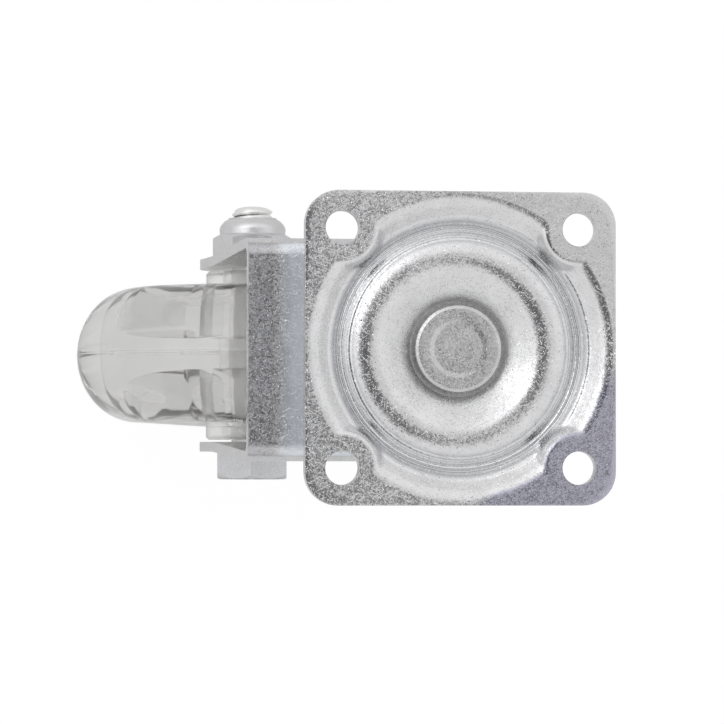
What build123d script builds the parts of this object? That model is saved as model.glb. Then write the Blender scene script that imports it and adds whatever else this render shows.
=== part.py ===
from build123d import *
from math import asin, cos, hypot, pi, radians, sin, tan
import os

# Light-duty swivel caster: a pressed square mounting plate, a double ball race held by a kingpin,
# a stamped yoke and a clear wheel that turns on a bolt.
# Millimetres. The origin is the centre of the plate's top mounting face, on the swivel axis.
# +Z points out of the mounting face and the wheel trails towards -X.

# Mounting plate
plate_size = 42.0
plate_t = 1.8
plate_corner_r = 4.5
hole_margin = 5.0
hole_d = 4.5

# Pressed form of the plate: a bowl with a raised ring inside it, and a well for the kingpin head
bowl_r = 19.6
bowl_edge_r = 2.3
bowl_foot_r = 0.8
valley_floor_w = 1.1
valley_crease_r = 0.2
ring_drop = 1.2
ring_outer_angle = 50.0
ring_inner_angle = 30.0
ring_wall_straight = 0.25
dish_angle = 14.0
dish_blend_r = 7.0
well_gap = 0.45
well_angle = 65.0
well_depth = 0.8
well_edge_r = 0.7
well_foot_r = 0.3
dish_floor_drop = 3.8
hole_pad_r = 5.1
hole_pad_angle = 66.0
hole_pad_root = 1.0

# Swivel bearing
upper_ball_d = 5.556
upper_ball_circle_r = 12.3
lower_ball_d = 4.0
ball_clearance = 0.05
race_guard = 0.1
race_wall_angle = 45.0
race_lip_angle = 20.0
yoke_head_gap = 0.5

# Retainer cup under the lower balls
retainer_t = 1.4
retainer_lip_angle = 65.0
retainer_lip_extra = 0.3

# Kingpin
kingpin_head_r = 5.9
kingpin_head_h = 1.5
kingpin_head_chamfer = 0.45
kingpin_neck_r = 3.6
kingpin_post_r = 4.5
kingpin_flange_r = 6.2
kingpin_flange_h = 1.6
kingpin_flange_round = 0.6
kingpin_yoke_gap = 0.6

# Yoke
yoke_t = 1.4
yoke_top_w = 30.6
yoke_bend_r = 2.4
yoke_rear_r = 14.9
yoke_front = 27.5
leg_rear = 9.5
leg_root_r = 3.0
leg_end_r = 7.6
leg_straighten = 9.5
leg_bend_r = 30.0

# Wheel place and wheel
swivel_offset = 23.8
axle_depth = 42.6
wheel_r = 25.4
hub_length = 24.4
hub_side_gap = 0.3
hub_r = 6.7
hub_chamfer = 0.4
bore_clearance = 0.08
side_half_w_hub = 10.3
side_half_w_rim = 9.7
crown_start_r = 16.6
rim_r = 14.8
rim_t = 1.5
rim_half_w = 7.6
web_half_t = 1.3
rib_t = 1.6
rib_half_w = 6.4
rib_count = 6

# Axle bolt and lock nut
bolt_d = 6.0
bolt_hole_clearance = 0.1
bolt_length = 35.5
bolt_tip_chamfer = 0.6
hex_af = 10.0
hex_chamfer_angle = 30.0
head_h = 4.0
head_turn = 24.0
nut_h = 6.1
nut_hex_h = 3.7
nut_turn = 54.0
nut_collar_round = 1.7
nut_bore_clearance = 0.03
insert_r = 4.1
insert_h = 1.5
insert_cover = 0.5

# Sizes that follow from the ones above
hole_spacing = plate_size - 2 * hole_margin
upper_ball_r = upper_ball_d / 2
lower_ball_r = lower_ball_d / 2
upper_track_r = upper_ball_r + ball_clearance
lower_track_r = lower_ball_r + ball_clearance
crest_r = upper_track_r + plate_t
upper_ball_z = -ring_drop - crest_r
yoke_z = upper_ball_z - upper_track_r
plate_floor_z = -dish_floor_drop - plate_t
yoke_crest_r = lower_track_r + yoke_t
lower_ball_z = plate_floor_z - yoke_head_gap - yoke_crest_r
race_reach = upper_track_r + race_guard + yoke_crest_r
race_drop = (upper_ball_z - lower_ball_z) * cos(radians(race_wall_angle))
lower_ball_circle_r = upper_ball_circle_r - (race_reach - race_drop) / sin(radians(race_wall_angle))
upper_ball_count = int(pi / asin(upper_track_r / upper_ball_circle_r))
lower_ball_count = int(pi / asin(lower_track_r / lower_ball_circle_r))
retainer_floor_z = lower_ball_z - lower_track_r
kingpin_seat_z = retainer_floor_z - retainer_t
hole_circle_r = hole_spacing / 2 * 2**0.5
bolt_r = bolt_d / 2
leg_inner_y = hub_length / 2 + hub_side_gap
leg_outer_y = leg_inner_y + yoke_t
axle_centre = (-swivel_offset, 0, -axle_depth)

# Across the axle, with local x along X and the normal along +Y
AXLE = Plane(origin=axle_centre, x_dir=(1, 0, 0), z_dir=(0, 1, 0))
# Along the axle, with the radius along local x and Y along local y
AXLE_SECTION = Plane(origin=axle_centre, x_dir=(1, 0, 0), z_dir=(0, 0, 1))
AXLE_AXIS = Axis(axle_centre, (0, 1, 0))


def falls(angle, run):
    """How far a wall at this angle from the level drops over a level run."""
    return run * tan(radians(angle))


def offset_points(points, thickness):
    """The points of a line that runs a sheet thickness to the left of the line through points."""
    lefts = []
    for (x0, y0), (x1, y1) in zip(points, points[1:]):
        length = hypot(x1 - x0, y1 - y0)
        lefts.append(((y0 - y1) / length, (x1 - x0) / length))
    moved = []
    for index, (x, y) in enumerate(points):
        before = lefts[max(index - 1, 0)]
        after = lefts[min(index, len(lefts) - 1)]
        share = thickness / (1 + before[0] * after[0] + before[1] * after[1])
        moved.append((x + share * (before[0] + after[0]), y + share * (before[1] + after[1])))
    return moved


def sheet_outline(points, thickness, radii, far_radii):
    """Closed outline of a bent sheet, to the left of points, with the bends of its two faces."""
    far_points = offset_points(points, thickness)
    corners = points + far_points[::-1]
    bends = [0, *radii, 0, 0, *far_radii[::-1], 0]
    FilletPolyline(*corners, radius=bends, close=True)


# The plate's upper face from the rim to the kingpin, in radius and height
crest_end_r = upper_ball_circle_r + crest_r * sin(radians(ring_outer_angle))
crest_end_z = upper_ball_z + crest_r * cos(radians(ring_outer_angle))
valley_r = crest_end_r + ring_wall_straight * cos(radians(ring_outer_angle))
valley_z = crest_end_z - ring_wall_straight * sin(radians(ring_outer_angle))
crest_start_r = upper_ball_circle_r - crest_r * sin(radians(ring_inner_angle))
crest_start_z = upper_ball_z + crest_r * cos(radians(ring_inner_angle))
outer_level_z = valley_z + falls(ring_outer_angle, valley_r)
inner_level_z = crest_start_z - falls(ring_inner_angle, crest_start_r)
slope_sum = falls(ring_outer_angle, 1) + falls(ring_inner_angle, 1)
apex_r = (outer_level_z - inner_level_z) / slope_sum
apex_z = outer_level_z - falls(ring_outer_angle, apex_r)
well_foot = kingpin_head_r + well_gap
well_rim_r = well_foot + well_depth / tan(radians(well_angle))
well_rim_z = well_depth - dish_floor_drop
slope_gap = falls(ring_inner_angle, 1) - falls(dish_angle, 1)
dish_bend_r = (well_rim_z - falls(dish_angle, well_rim_r) - inner_level_z) / slope_gap
dish_bend_z = inner_level_z + falls(ring_inner_angle, dish_bend_r)
plate_reach = plate_size
plate_line = [
    (plate_reach, 0),
    (bowl_r, 0),
    (valley_r + valley_floor_w, valley_z),
    (valley_r, valley_z),
    (apex_r, apex_z),
    (dish_bend_r, dish_bend_z),
    (well_rim_r, well_rim_z),
    (well_foot, -dish_floor_drop),
    (0, -dish_floor_drop),
]
plate_bends = [bowl_edge_r, bowl_foot_r, valley_crease_r, crest_r, dish_blend_r, well_edge_r, well_foot_r]
under_bends = [
    bowl_edge_r - plate_t,
    bowl_foot_r + plate_t,
    valley_crease_r + plate_t,
    crest_r - plate_t,
    dish_blend_r + plate_t,
    valley_crease_r,
    well_edge_r,
]
under_line = offset_points(plate_line, plate_t)
block_z = yoke_z
pad_h = hole_pad_root - valley_z
pad_run = pad_h / tan(radians(hole_pad_angle))
under_pad_r = hole_pad_r - plate_t * tan(radians(hole_pad_angle) / 2)

# Space under the plate, which its thickness leaves
with BuildPart() as under_space:
    with BuildSketch(Plane.XZ):
        with BuildLine():
            FilletPolyline(
                *under_line,
                (0, block_z - plate_t),
                (plate_reach, block_z - plate_t),
                radius=[0, *under_bends, 0, 0, 0],
                close=True,
            )
        make_face()
    revolve(axis=Axis.Z)
    with GridLocations(hole_spacing, hole_spacing, 2, 2):
        with Locations((0, 0, -pad_h - plate_t)):
            Cone(under_pad_r + pad_run, under_pad_r, pad_h, align=(Align.CENTER, Align.CENTER, Align.MIN))

# Mounting plate: one sheet, pressed down into a bowl between four flat pads
with BuildPart() as top_plate:
    with BuildSketch(Plane.XZ):
        with BuildLine():
            FilletPolyline(
                *plate_line,
                (0, block_z),
                (plate_reach, block_z),
                radius=[0, *plate_bends, 0, 0, 0],
                close=True,
            )
        make_face()
    revolve(axis=Axis.Z)
    with GridLocations(hole_spacing, hole_spacing, 2, 2):
        with Locations((0, 0, -pad_h)):
            Cone(hole_pad_r + pad_run, hole_pad_r, pad_h, align=(Align.CENTER, Align.CENTER, Align.MIN))
    add(under_space.part, mode=Mode.SUBTRACT)
    with BuildSketch(Plane.XY.offset(block_z)):
        RectangleRounded(plate_size, plate_size, plate_corner_r)
        with GridLocations(hole_spacing, hole_spacing, 2, 2):
            Circle(hole_d / 2, mode=Mode.SUBTRACT)
        Circle(kingpin_neck_r, mode=Mode.SUBTRACT)
    extrude(amount=-2 * block_z, mode=Mode.INTERSECT)
top_plate.part.label = "top_plate"

# Kingpin: flange under the retainer, post through the yoke, neck through the plate, riveted head
head_top_z = kingpin_head_h - dish_floor_drop
kingpin_foot_z = kingpin_seat_z - kingpin_flange_h
with BuildPart() as kingpin:
    with BuildSketch(Plane.XZ):
        with BuildLine():
            Polyline(
                (0, kingpin_foot_z),
                (0, head_top_z),
                (kingpin_head_r - kingpin_head_chamfer, head_top_z),
                (kingpin_head_r, head_top_z - kingpin_head_chamfer),
                (kingpin_head_r, -dish_floor_drop),
                (kingpin_neck_r, -dish_floor_drop),
                (kingpin_neck_r, plate_floor_z),
                (kingpin_post_r, plate_floor_z),
                (kingpin_post_r, kingpin_seat_z),
                (kingpin_flange_r, kingpin_seat_z),
            )
            FilletPolyline(
                (kingpin_flange_r, kingpin_seat_z),
                (kingpin_flange_r, kingpin_foot_z),
                (0, kingpin_foot_z),
                radius=kingpin_flange_round,
            )
        make_face()
    revolve(axis=Axis.Z)
kingpin.part.label = "kingpin"

# Retainer cup: carries the lower balls and rests on the kingpin's flange
lip_cos = cos(radians(retainer_lip_angle))
lip_sin = sin(radians(retainer_lip_angle))
lip_r = lower_ball_circle_r + lower_track_r * lip_sin + retainer_lip_extra * lip_cos
lip_z = lower_ball_z - lower_track_r * lip_cos + retainer_lip_extra * lip_sin
cup_corner_r = lower_ball_circle_r + lower_track_r * tan(radians(retainer_lip_angle) / 2)
with BuildPart() as retainer_cup:
    with BuildSketch(Plane.XZ):
        with BuildLine():
            sheet_outline(
                [(lip_r, lip_z), (cup_corner_r, retainer_floor_z), (kingpin_post_r, retainer_floor_z)],
                retainer_t,
                [lower_track_r],
                [lower_track_r + retainer_t],
            )
        make_face()
    revolve(axis=Axis.Z)
retainer_cup.part.label = "retainer_cup"

# Yoke: a stamped channel with tapering legs, a round back and a pressed race for both ball rings
leg_top_y = yoke_top_w / 2
leg_pad_z = -axle_depth + leg_straighten
leg_bottom_z = -axle_depth - leg_end_r
yoke_hole_r = kingpin_post_r + kingpin_yoke_gap
race_edge_r = upper_ball_circle_r + yoke_t / 2
wall_sin = sin(radians(race_wall_angle))
wall_cos = cos(radians(race_wall_angle))
wall_top_r = lower_ball_circle_r + yoke_crest_r * wall_sin
wall_top_z = lower_ball_z + yoke_crest_r * wall_cos
wall_foot_r = wall_top_r + (wall_top_z - yoke_z) / tan(radians(race_wall_angle))
lip_top_r = lower_ball_circle_r - yoke_crest_r * sin(radians(race_lip_angle))
lip_top_z = lower_ball_z + yoke_crest_r * cos(radians(race_lip_angle))
wall_level_z = wall_top_z + falls(race_wall_angle, wall_top_r)
lip_level_z = lip_top_z - falls(race_lip_angle, lip_top_r)
crest_apex_r = (wall_level_z - lip_level_z) / (falls(race_wall_angle, 1) + falls(race_lip_angle, 1))
crest_apex_z = lip_level_z + falls(race_lip_angle, crest_apex_r)
lip_end_r = yoke_hole_r - 1.5 * yoke_t * sin(radians(race_lip_angle))
lip_end_z = lip_level_z + falls(race_lip_angle, lip_end_r)
with BuildPart() as yoke:
    with BuildSketch(Plane.YZ.offset(-yoke_front - leg_end_r)):
        with BuildLine():
            sheet_outline(
                [
                    (leg_outer_y, leg_bottom_z),
                    (leg_outer_y, leg_pad_z),
                    (leg_top_y, yoke_z),
                    (-leg_top_y, yoke_z),
                    (-leg_outer_y, leg_pad_z),
                    (-leg_outer_y, leg_bottom_z),
                ],
                yoke_t,
                [leg_bend_r, yoke_bend_r, yoke_bend_r, leg_bend_r],
                [leg_bend_r - yoke_t, yoke_bend_r - yoke_t, yoke_bend_r - yoke_t, leg_bend_r - yoke_t],
            )
        make_face()
    extrude(amount=yoke_front + leg_end_r - leg_rear + leg_root_r)
    with BuildSketch(Plane.XZ.offset(-yoke_top_w)) as leg_side:
        with Locations((-swivel_offset, -axle_depth)):
            Circle(leg_end_r)
        with Locations((-yoke_front, yoke_z)):
            Rectangle(yoke_front - leg_rear, 2 * yoke_t, align=(Align.MIN, Align.CENTER))
        make_hull()
        with Locations((leg_root_r - leg_rear, yoke_z)):
            Rectangle(2 * leg_root_r, 2 * yoke_bend_r, align=(Align.MAX, Align.CENTER))
        fillet(leg_side.vertices().sort_by_distance((-leg_rear, yoke_z - yoke_bend_r))[0], leg_root_r)
        with Locations((-swivel_offset, -axle_depth)):
            Circle(bolt_r + bolt_hole_clearance, mode=Mode.SUBTRACT)
    extrude(amount=2 * yoke_top_w, mode=Mode.INTERSECT)
    with BuildSketch(Plane.XY.offset(yoke_z)):
        Circle(yoke_rear_r)
        with Locations((-yoke_front, 0)):
            Rectangle(yoke_front, yoke_top_w - 2 * yoke_bend_r, align=(Align.MIN, Align.CENTER))
    extrude(amount=-yoke_t)
    with BuildSketch(Plane.XY.offset(yoke_z)):
        Circle(race_edge_r)
    extrude(amount=-2 * yoke_t, mode=Mode.SUBTRACT)
    with BuildSketch(Plane.XZ):
        with BuildLine():
            sheet_outline(
                [
                    (race_edge_r, yoke_z),
                    (wall_foot_r, yoke_z),
                    (crest_apex_r, crest_apex_z),
                    (lip_end_r, lip_end_z),
                ],
                yoke_t,
                [upper_track_r, yoke_crest_r],
                [upper_track_r + yoke_t, lower_track_r],
            )
        make_face()
    revolve(axis=Axis.Z)
    with BuildSketch(Plane.XY.offset(lower_ball_z)):
        Circle(yoke_hole_r)
    extrude(amount=-lower_ball_z, mode=Mode.SUBTRACT)
yoke.part.label = "yoke"

# Wheel core: hub, web, rim and ribs of one hard clear moulding
bore_r = bolt_r + bore_clearance
rib_inner_r = (bore_r + hub_r) / 2
rib_outer_r = rim_r - rim_t / 2
with BuildPart() as wheel_core:
    with BuildSketch(AXLE_SECTION):
        with Locations(((rim_r + bore_r) / 2, 0)):
            Rectangle(rim_r - bore_r, 2 * web_half_t)
        with Locations((rim_r - rim_t / 2, 0)):
            Rectangle(rim_t, 2 * rim_half_w)
    revolve(axis=AXLE_AXIS)
    with BuildSketch(AXLE.offset(-rib_half_w)):
        with PolarLocations((rib_inner_r + rib_outer_r) / 2, rib_count):
            Rectangle(rib_outer_r - rib_inner_r, rib_t)
    extrude(amount=2 * rib_half_w)
    with BuildSketch(AXLE.offset(-hub_length / 2)):
        Circle(hub_r)
    extrude(amount=hub_length)
    chamfer(wheel_core.edges().group_by(Axis.Y)[0] + wheel_core.edges().group_by(Axis.Y)[-1], hub_chamfer)
    with BuildSketch(AXLE.offset(-hub_length / 2)):
        Circle(bore_r)
    extrude(amount=hub_length, mode=Mode.SUBTRACT)
wheel_core.part.label = "wheel_core"

# Tyre: soft clear tread moulded all round the core, with only the hub ends standing out
with BuildPart() as tyre:
    with BuildSketch(AXLE_SECTION):
        with BuildLine():
            Polyline((crown_start_r, -side_half_w_rim), (hub_r, -side_half_w_hub), (hub_r, side_half_w_hub))
            Line((hub_r, side_half_w_hub), (crown_start_r, side_half_w_rim))
            EllipticalCenterArc(
                (crown_start_r, 0), wheel_r - crown_start_r, side_half_w_rim, start_angle=-90, arc_size=180
            )
        make_face()
    revolve(axis=AXLE_AXIS)
    add(wheel_core.part, mode=Mode.SUBTRACT)
tyre.part.label = "tyre"


def hexagon(turn):
    """Hexagon of the bolt head and the nut, turned about the axle from a corner along local x."""
    RegularPolygon(hex_af / 2, 6, major_radius=False, rotation=turn)


# Axle bolt: the head bears on the leg at -Y, the plain shank is the wheel's axle
hex_corner_r = hex_af / 2 / cos(pi / 6)
hex_face_r = hex_af / 2 - 0.05 * hex_af / 2
hex_chamfer_h = falls(hex_chamfer_angle, hex_corner_r - hex_face_r)
with BuildPart() as axle_bolt:
    with BuildSketch(AXLE.offset(-leg_outer_y - head_h)):
        hexagon(head_turn)
    extrude(amount=head_h)
    with BuildSketch(AXLE_SECTION):
        with BuildLine():
            Polyline(
                (0, -leg_outer_y - head_h),
                (hex_face_r, -leg_outer_y - head_h),
                (hex_corner_r, -leg_outer_y - head_h + hex_chamfer_h),
                (hex_corner_r, -leg_outer_y),
                (0, -leg_outer_y),
                close=True,
            )
        make_face()
    revolve(axis=AXLE_AXIS, mode=Mode.INTERSECT)
    with BuildSketch(AXLE.offset(-leg_outer_y)):
        Circle(bolt_r)
    extrude(amount=bolt_length)
    chamfer(axle_bolt.edges().sort_by(Axis.Y)[-1], bolt_tip_chamfer)
axle_bolt.part.label = "axle_bolt"

# Lock nut: hexagon with a round collar that holds the nylon ring
collar_r = hex_af / 2
insert_y = leg_outer_y + nut_h - insert_cover - insert_h
with BuildPart() as lock_nut:
    with BuildSketch(AXLE.offset(leg_outer_y)):
        hexagon(nut_turn)
    extrude(amount=nut_hex_h)
    with BuildSketch(AXLE_SECTION):
        with BuildLine():
            Polyline(
                (0, leg_outer_y),
                (hex_face_r, leg_outer_y),
                (hex_corner_r, leg_outer_y + hex_chamfer_h),
                (hex_corner_r, leg_outer_y + nut_hex_h - hex_chamfer_h),
                (hex_face_r, leg_outer_y + nut_hex_h),
                (0, leg_outer_y + nut_hex_h),
                close=True,
            )
        make_face()
    revolve(axis=AXLE_AXIS, mode=Mode.INTERSECT)
    with BuildSketch(AXLE_SECTION):
        with BuildLine():
            FilletPolyline(
                (0, leg_outer_y + nut_hex_h - hex_chamfer_h),
                (hex_face_r, leg_outer_y + nut_hex_h - hex_chamfer_h),
                (hex_face_r, leg_outer_y + nut_h),
                (0, leg_outer_y + nut_h),
                radius=[0, 0, nut_collar_round, 0],
                close=True,
            )
        make_face()
    revolve(axis=AXLE_AXIS)
    with BuildSketch(AXLE.offset(leg_outer_y)):
        Circle(bolt_r + nut_bore_clearance)
    extrude(amount=nut_h, mode=Mode.SUBTRACT)
    with BuildSketch(AXLE.offset(insert_y)):
        Circle(insert_r)
    extrude(amount=insert_h, mode=Mode.SUBTRACT)
lock_nut.part.label = "lock_nut"

# Nylon ring in the nut's collar, which grips the thread
with BuildPart() as nylon_ring:
    with BuildSketch(AXLE.offset(insert_y)):
        Circle(insert_r)
        Circle(bolt_r + nut_bore_clearance, mode=Mode.SUBTRACT)
    extrude(amount=insert_h)
nylon_ring.part.label = "nylon_ring"

os.makedirs("parts", exist_ok=True)
for piece in (
    top_plate,
    kingpin,
    retainer_cup,
    yoke,
    wheel_core,
    tyre,
    axle_bolt,
    lock_nut,
    nylon_ring,
):
    export_step(piece.part, f"parts/{piece.part.label}.step")

# The two rings of loose balls, each ball a piece of its own
for ring, ball_r, circle_r, ball_z, count in (
    ("upper_ball", upper_ball_r, upper_ball_circle_r, upper_ball_z, upper_ball_count),
    ("lower_ball", lower_ball_r, lower_ball_circle_r, lower_ball_z, lower_ball_count),
):
    for index in range(count):
        turn = 2 * pi * index / count
        with BuildPart() as ball:
            with Locations((circle_r * cos(turn), circle_r * sin(turn), ball_z)):
                Sphere(ball_r)
        ball.part.label = f"{ring}_{index + 1:02d}"
        export_step(ball.part, f"parts/{ball.part.label}.step")
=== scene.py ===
# %% [markdown]
# # A swivel plate caster under a soft white studio light
# The caster has a pressed steel plate, a stamped yoke, two rings of balls and a clear wheel.
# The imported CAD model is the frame: it gives every piece its place, and this lesson gives each
# visible surface its looks. Metal parts of this kind are cut, pressed and then zinc plated, so
# most of their looks come from soft bends, fine grain and what the bright metal reflects.

# %% Load the frame
from math import ceil, cos, hypot, pi, radians, sin, tan

import bmesh
import bpy
from mathutils import Matrix, Vector


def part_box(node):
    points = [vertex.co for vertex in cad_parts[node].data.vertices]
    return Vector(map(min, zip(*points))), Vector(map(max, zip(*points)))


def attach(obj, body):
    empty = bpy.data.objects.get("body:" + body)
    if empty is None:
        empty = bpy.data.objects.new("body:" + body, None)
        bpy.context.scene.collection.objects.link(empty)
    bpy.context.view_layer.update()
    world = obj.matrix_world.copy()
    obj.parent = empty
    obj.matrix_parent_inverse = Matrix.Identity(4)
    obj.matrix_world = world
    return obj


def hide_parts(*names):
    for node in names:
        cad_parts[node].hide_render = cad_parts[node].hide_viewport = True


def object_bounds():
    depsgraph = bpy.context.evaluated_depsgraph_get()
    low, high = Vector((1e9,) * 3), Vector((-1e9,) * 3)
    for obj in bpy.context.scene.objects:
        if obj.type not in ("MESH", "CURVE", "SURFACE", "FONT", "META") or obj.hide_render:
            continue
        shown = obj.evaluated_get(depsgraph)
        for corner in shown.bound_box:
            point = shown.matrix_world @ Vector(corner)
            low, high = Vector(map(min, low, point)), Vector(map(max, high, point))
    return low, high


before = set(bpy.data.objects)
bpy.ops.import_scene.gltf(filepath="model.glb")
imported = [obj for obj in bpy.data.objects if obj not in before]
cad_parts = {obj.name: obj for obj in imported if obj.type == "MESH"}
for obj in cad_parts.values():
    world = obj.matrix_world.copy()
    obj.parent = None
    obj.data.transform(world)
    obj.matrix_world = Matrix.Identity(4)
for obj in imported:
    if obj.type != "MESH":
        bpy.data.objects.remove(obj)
cad_box = [list(corner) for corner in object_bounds()]
mm = 0.001

# %% [markdown]
# ## Camera
# The photograph looks almost straight down on the mounting face with a long lens. A camera that
# stands 44 cm away and leans a few degrees sees the same: the plate hides most of the yoke and
# the wheel trails out to the left. The matrix is built from the view line, which is clearer than
# three Euler angles when the view is nearly vertical.

# %% Place the camera
camera_place = Vector((-71.41, -13.08, 436.13)) * mm
camera_target = Vector((-13.39, -1.91, 0)) * mm
camera_roll = radians(-0.09)
camera_lens = 164.7

view_line = (camera_target - camera_place).normalized()
level_up = (Vector((0, 1, 0)) - view_line * view_line.y).normalized()
level_right = view_line.cross(level_up)
camera_up = level_up * cos(camera_roll) + level_right * sin(camera_roll)
camera_right = view_line.cross(camera_up)
camera_data = bpy.data.cameras.new("plate_camera")
camera_data.sensor_width = 36
camera_data.lens = camera_lens
camera_data.clip_start = 0.05
camera = bpy.data.objects.new("plate_camera", camera_data)
camera.matrix_world = Matrix((camera_right, camera_up, -view_line)).transposed().to_4x4()
camera.location = camera_place
bpy.context.scene.collection.objects.link(camera)
bpy.context.scene.camera = camera
bpy.context.scene.view_settings.view_transform = "Standard"
print("camera", round((camera_target - camera_place).length / mm), "mm away")

# %% [markdown]
# ## Floor and light
# The caster stands on its wheel on a white table, among white panels, with one darker gap where
# the photographer looks in. Bright metal is a mirror with grain: a face that looks back into that
# gap turns grey, and a slope that looks at the panels turns white. The world is the panels and
# the gap, written as a direction test, and a round lamp on the left adds the soft key light.
# Rays that come straight from the camera, or that have passed the clear wheel, see plain white,
# so the background stays white without more light on the metal.

# %% Small helpers for node trees
def node(tree, kind, **values):
    """Add a node and set its named inputs, or its own settings where no input has that name."""
    made = tree.nodes.new(kind)
    for name, value in values.items():
        socket = made.inputs.get(name.replace("_", " "))
        if socket is None:
            setattr(made, name, value)
        elif hasattr(value, "is_output"):
            tree.links.new(value, socket)
        else:
            socket.default_value = value
    return made


def maths(tree, operation, *values, clamp=False):
    """Add a Math node whose inputs are numbers or sockets, and return its result."""
    made = tree.nodes.new("ShaderNodeMath")
    made.operation = operation
    made.use_clamp = clamp
    for slot, value in zip(made.inputs, values):
        if hasattr(value, "is_output"):
            tree.links.new(value, slot)
        else:
            slot.default_value = value
    return made.outputs[0]


def ramp(tree, value, low, high, out_low=0.0, out_high=1.0):
    """Move a value smoothly from one range into another."""
    made = tree.nodes.new("ShaderNodeMapRange")
    made.interpolation_type = "SMOOTHSTEP"
    tree.links.new(value, made.inputs["Value"])
    made.inputs["From Min"].default_value = low
    made.inputs["From Max"].default_value = high
    made.inputs["To Min"].default_value = out_low
    made.inputs["To Max"].default_value = out_high
    return made.outputs["Result"]


def mixed(tree, factor, first, second):
    """Blend two colours by a factor."""
    made = tree.nodes.new("ShaderNodeMix")
    made.data_type = "RGBA"
    for name, value in (("Factor", factor), ("A", first), ("B", second)):
        socket = next(s for s in made.inputs if s.name == name and s.enabled)
        if hasattr(value, "is_output"):
            tree.links.new(value, socket)
        else:
            socket.default_value = value
    return next(s for s in made.outputs if s.enabled)


# %% White panels with a darker gap round the camera
panel_level = 0.92
low_panel_share = 0.6
low_upness, high_upness = -0.05, 0.55
far_side, near_side = -0.8, 0.8
far_side_share, near_side_share = 0.92, 1.03
gap_direction = -view_line
gap_inner = cos(radians(6))
gap_outer = cos(radians(28))
gap_level = 0.12
gap_colour = (gap_level, gap_level, gap_level * 1.03, 1)
side_panel_direction = Vector((0.34, 0.17, 1.0)).normalized()
side_panel_inner = cos(radians(10))
side_panel_outer = cos(radians(13.6))
side_panel_level = 0.75
key_direction = Vector((-0.45, 0.37, 0.70)).normalized()
key_glow = 0.32
key_glow_inner = cos(radians(8))
key_glow_outer = cos(radians(42))

world = bpy.data.worlds.new("white_panels")
bpy.context.scene.world = world
world.use_nodes = True
tree = world.node_tree
tree.nodes.clear()
direction = tree.nodes.new("ShaderNodeTexCoord").outputs["Generated"]


def nearness(tree, direction, towards):
    """Cosine of the angle between a direction and a fixed one."""
    made = tree.nodes.new("ShaderNodeVectorMath")
    made.operation = "DOT_PRODUCT"
    tree.links.new(direction, made.inputs[0])
    made.inputs[1].default_value = towards
    return made.outputs["Value"]


in_gap = ramp(tree, nearness(tree, direction, gap_direction), gap_outer, gap_inner)
upness = nearness(tree, direction, Vector((0, 0, 1)))
panel_shade = ramp(tree, upness, low_upness, high_upness, panel_level * low_panel_share, panel_level)
sideness = nearness(tree, direction, Vector((0, 1, 0)))
side_share = ramp(tree, sideness, far_side, near_side, far_side_share, near_side_share)
panel_shade = maths(tree, "MULTIPLY", panel_shade, side_share)
panels = mixed(tree, in_gap, panel_shade, gap_colour)
side_nearness = nearness(tree, direction, side_panel_direction)
on_side_panel = ramp(tree, side_nearness, side_panel_outer, side_panel_inner)
panels = mixed(tree, on_side_panel, panels, (side_panel_level,) * 3 + (1,))
key_nearness = nearness(tree, direction, key_direction)
extra_glow = ramp(tree, key_nearness, key_glow_outer, key_glow_inner, 0.0, key_glow)


def seen_plainly(tree):
    """1 for rays that come straight from the camera or have passed the clear wheel."""
    paths = tree.nodes.new("ShaderNodeLightPath")
    passed = maths(tree, "GREATER_THAN", paths.outputs["Transmission Depth"], 0.5)
    return maths(tree, "MAXIMUM", paths.outputs["Is Camera Ray"], passed)


seen_white = seen_plainly(tree)
sky = mixed(tree, seen_white, panels, (1, 1, 1, 1))
unlit = maths(tree, "SUBTRACT", 1.0, seen_white)
strength = maths(tree, "MULTIPLY_ADD", extra_glow, unlit, 1.0)
background = node(tree, "ShaderNodeBackground", Color=sky, Strength=strength)
node(tree, "ShaderNodeOutputWorld", Surface=background.outputs[0])
print("world: panels", panel_level, "gap", gap_level)

# %% The key lamp
key_distance = 0.91
key_size = 0.46
key_watts = 0.35
key_aim = Vector((0, 0, -20)) * mm
key = bpy.data.lights.new("key_lamp", "AREA")
key.shape = "DISK"
key.size = key_size
key.energy = key_watts
key_lamp = bpy.data.objects.new("key_lamp", key)
key_lamp.location = key_direction * key_distance
key_lamp.rotation_euler = (key_aim - key_lamp.location).to_track_quat("-Z", "Y").to_euler()
bpy.context.scene.collection.objects.link(key_lamp)
print("key lamp", key.energy, "W")

# %% The white table under the wheel
floor_z = cad_box[0][2]
table_reach = 1.5
table_colour = (0.66, 0.66, 0.665, 1)
table_glow = 1.09
glow_seen = 0.86
glow_hidden = 0.28
bm = bmesh.new()
bmesh.ops.create_grid(bm, x_segments=1, y_segments=1, size=table_reach)
bmesh.ops.translate(bm, verts=bm.verts, vec=(0, 0, floor_z))
floor_mesh = bpy.data.meshes.new("table")
bm.to_mesh(floor_mesh)
bm.free()
table = bpy.data.objects.new("table", floor_mesh)
bpy.context.scene.collection.objects.link(table)

table_paint = bpy.data.materials.new("table_white")
table_paint.use_nodes = True
tree = table_paint.node_tree
tree.nodes.clear()
matt = node(tree, "ShaderNodeBsdfDiffuse", Color=table_colour)
glow = node(tree, "ShaderNodeEmission", Color=(1, 1, 1, 1), Strength=table_glow)
share = maths(tree, "MULTIPLY_ADD", seen_plainly(tree), glow_seen - glow_hidden, glow_hidden)
shown = node(tree, "ShaderNodeMixShader", Fac=share)
tree.links.new(matt.outputs[0], shown.inputs[1])
tree.links.new(glow.outputs[0], shown.inputs[2])
node(tree, "ShaderNodeOutputMaterial", Surface=shown.outputs[0])
floor_mesh.materials.append(table_paint)
print("table at", round(floor_z / mm, 2), "mm")

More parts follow.
